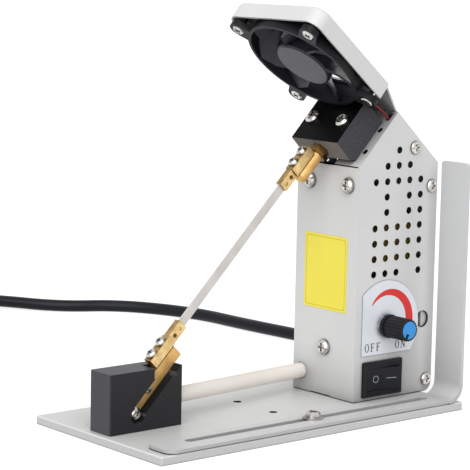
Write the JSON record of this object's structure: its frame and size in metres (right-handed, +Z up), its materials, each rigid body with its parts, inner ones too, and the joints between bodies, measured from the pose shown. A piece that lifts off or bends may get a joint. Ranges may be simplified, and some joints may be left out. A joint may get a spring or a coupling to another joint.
{
  "type": "electric hot knife",
  "caption": "Bench-top electric hot knife: a heated strip blade slants between two insulated clamps over a base plate, with control housing, cooling fan, dial, rocker switch and sliding stop.",
  "frame": {"origin": "on the floor under the middle of the tool without its lead: bottom face of the base plate", "axes": "+X along the base from the blade's foot to the housing, -Y the side with dial and switch, +Z up"},
  "size_m": [0.2524, 0.4172, 0.1956],
  "materials": {
    "white_paint": "satin powder coat",
    "zinc_steel": "bright zinc",
    "brass": "drawn, slightly dulled",
    "heat_steel": "rolled strip, heat dulled",
    "phenolic": "machined black laminate",
    "sleeve_cream": "woven sleeve",
    "black_plastic": "moulded",
    "switch_plastic": "moulded, smooth",
    "cap_blue": "moulded",
    "dial_white": "printed film",
    "black_rubber": "moulded",
    "copper": "bare wire",
    "lead_red": "insulation",
    "lead_black": "insulation",
    "core_steel": "lamination stack",
    "winding_tape": "tape",
    "board_green": "circuit board",
    "component_dark": "moulded",
    "nickel": "plated"
  },
  "bodies": {
    "tool": {"base_plate": "white_paint", "base_screws": "zinc_steel", "flange_nuts": "zinc_steel", "housing_shell": "white_paint", "rear_cover": "white_paint", "side_screws": "zinc_steel", "front_screws": "zinc_steel", "dial_plate": "dial_white", "potentiometer": "zinc_steel", "control_nut": "zinc_steel", "switch_frame": "switch_plastic", "switch_terminals": "brass", "blade": "heat_steel", "blade_set_screws": "zinc_steel", "upper_holder": "brass", "upper_clamp_screws": "zinc_steel", "lower_holder": "brass", "lower_clamp_screws": "zinc_steel", "lower_electrode": "brass", "terminal_screw": "zinc_steel", "terminal_washer": "zinc_steel", "electrode_grub": "zinc_steel", "lower_block": "phenolic", "lead_conduit": "sleeve_cream", "lead_conductor": "copper", "upper_block": "phenolic", "upper_block_screws": "zinc_steel", "upper_electrode": "brass", "rod_nut": "brass", "upper_lead": "lead_black", "fan_frame": "black_plastic", "fan_stator": "copper", "fan_screws": "zinc_steel", "fan_tray": "white_paint", "tray_screws": "zinc_steel", "fan_lead_red": "lead_red", "fan_lead_black": "lead_black", "stop_screw": "zinc_steel", "stop_washer": "zinc_steel", "transformer_core": "core_steel", "transformer_coil": "winding_tape", "transformer_mount": "zinc_steel", "control_board": "board_green", "board_pillar": "brass", "board_parts": "component_dark", "strain_relief": "black_rubber", "power_cord": "black_rubber", "cord_coil": "black_rubber", "cord_tie": "black_rubber", "plug_body": "black_rubber", "plug_pins": "nickel"},
    "rocker": {"rocker": "switch_plastic"},
    "dial_knob": {"knob": "black_plastic", "knob_cap": "cap_blue", "control_shaft": "zinc_steel"},
    "fan_wheel": {"fan_rotor": "black_plastic"},
    "stop": {"stop_bracket": "white_paint"}
  },
  "joints": [
    {"name": "rocker_tilt", "type": "hinge", "parent": "tool", "child": "rocker", "pos_m": [0.0614, -0.019, 0.0146], "axis": [0, 0, 1], "range_deg": [0, 18]},
    {"name": "knob_turn", "type": "hinge", "parent": "tool", "child": "dial_knob", "pos_m": [0.0631, -0.0196, 0.0405], "axis": [0, 1, 0], "range_deg": [0, 300]},
    {"name": "fan_spin", "type": "hinge", "parent": "tool", "child": "fan_wheel", "pos_m": [0.03191, 0.0024, 0.1756], "axis": [0.6428, 0, 0.766], "continuous": true},
    {"name": "stop_slide", "type": "slide", "parent": "tool", "child": "stop", "axis": [1, 0, 0], "range_m": [-0.0175, 0.073]}
  ]
}
